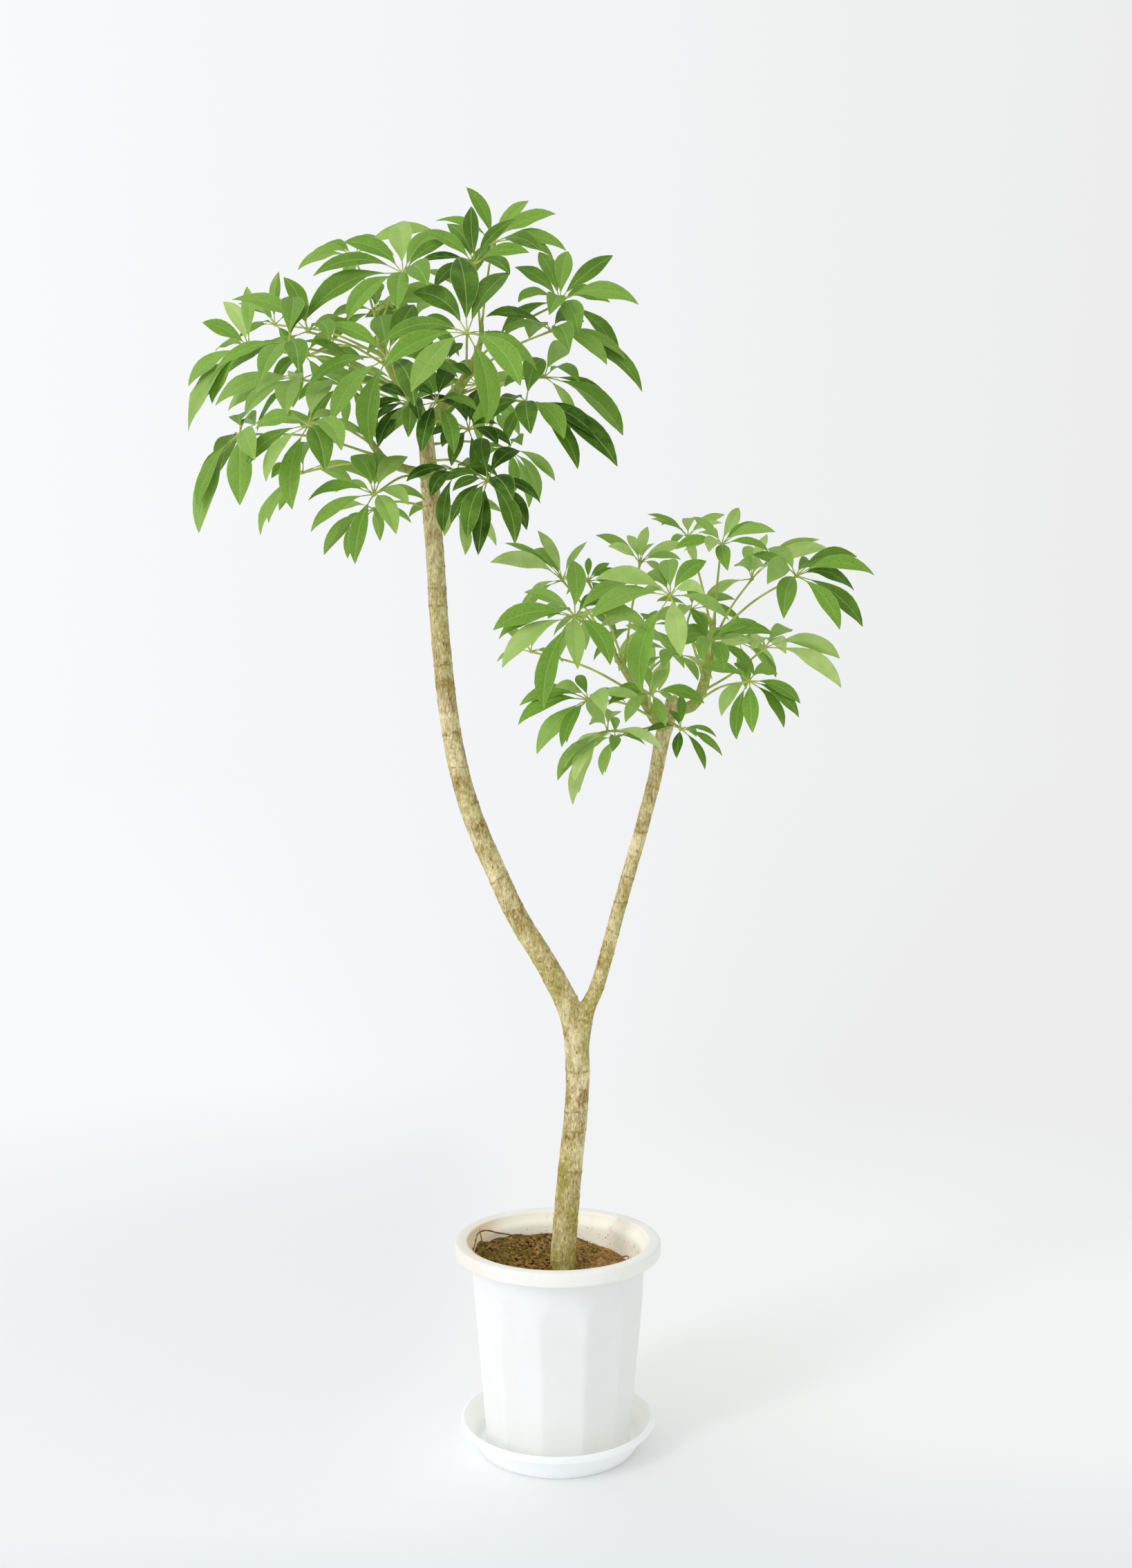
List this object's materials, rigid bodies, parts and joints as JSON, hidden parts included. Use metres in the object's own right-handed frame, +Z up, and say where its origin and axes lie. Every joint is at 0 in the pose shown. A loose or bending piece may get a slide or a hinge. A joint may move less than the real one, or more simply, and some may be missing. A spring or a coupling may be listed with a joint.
{
  "type": "potted umbrella plant",
  "caption": "Tall umbrella plant with a forked woody stem and two leafy crowns, in a white twelve-sided plastic pot with a rolled rim, standing on a round saucer.",
  "frame": {"origin": "centre of the saucer's flat underside", "axes": "+Z up along the pot's axis; the front of the plant faces -Y; +X to the right seen from the front"},
  "size_m": [0.9609, 0.5618, 1.8331],
  "materials": {
    "saucer_plastic": "white polypropylene, glossy, moulded",
    "pot_plastic": "white polypropylene, satin, moulded",
    "potting_soil": "dark peat and bark with moss and pellets, matt",
    "bark": "thin tan bark with green algae and leaf scars, matt",
    "leaf": "leathery green leaf, waxy above and matt below"
  },
  "bodies": {
    "root": {"saucer": "saucer_plastic", "pot": "pot_plastic", "soil": "potting_soil", "stems": "bark", "leaf_upper_01": "leaf", "leaf_upper_02": "leaf", "leaf_upper_03": "leaf", "leaf_upper_04": "leaf", "leaf_upper_05": "leaf", "leaf_upper_06": "leaf", "leaf_upper_07": "leaf", "leaf_upper_08": "leaf", "leaf_upper_09": "leaf", "leaf_upper_10": "leaf", "leaf_upper_11": "leaf", "leaf_upper_12": "leaf", "leaf_upper_13": "leaf", "leaf_upper_14": "leaf", "leaf_upper_15": "leaf", "leaf_upper_16": "leaf", "leaf_upper_17": "leaf", "leaf_upper_18": "leaf", "leaf_upper_19": "leaf", "leaf_upper_20": "leaf", "leaf_upper_21": "leaf", "leaf_upper_22": "leaf", "leaf_upper_23": "leaf", "leaf_upper_24": "leaf", "leaf_upper_25": "leaf", "leaf_upper_26": "leaf", "leaf_upper_27": "leaf", "leaf_upper_28": "leaf", "leaf_upper_29": "leaf", "leaf_upper_30": "leaf", "leaf_upper_31": "leaf", "leaf_upper_32": "leaf", "leaf_upper_33": "leaf", "leaf_lower_01": "leaf", "leaf_lower_02": "leaf", "leaf_lower_03": "leaf", "leaf_lower_04": "leaf", "leaf_lower_05": "leaf", "leaf_lower_06": "leaf", "leaf_lower_07": "leaf", "leaf_lower_08": "leaf", "leaf_lower_09": "leaf", "leaf_lower_10": "leaf", "leaf_lower_11": "leaf", "leaf_lower_12": "leaf", "leaf_lower_13": "leaf", "leaf_lower_14": "leaf", "leaf_lower_15": "leaf", "leaf_lower_16": "leaf", "leaf_lower_17": "leaf", "leaf_lower_18": "leaf", "leaf_lower_19": "leaf", "leaf_lower_20": "leaf", "leaf_lower_21": "leaf", "leaf_lower_22": "leaf", "leaf_lower_23": "leaf"}
  },
  "joints": []
}
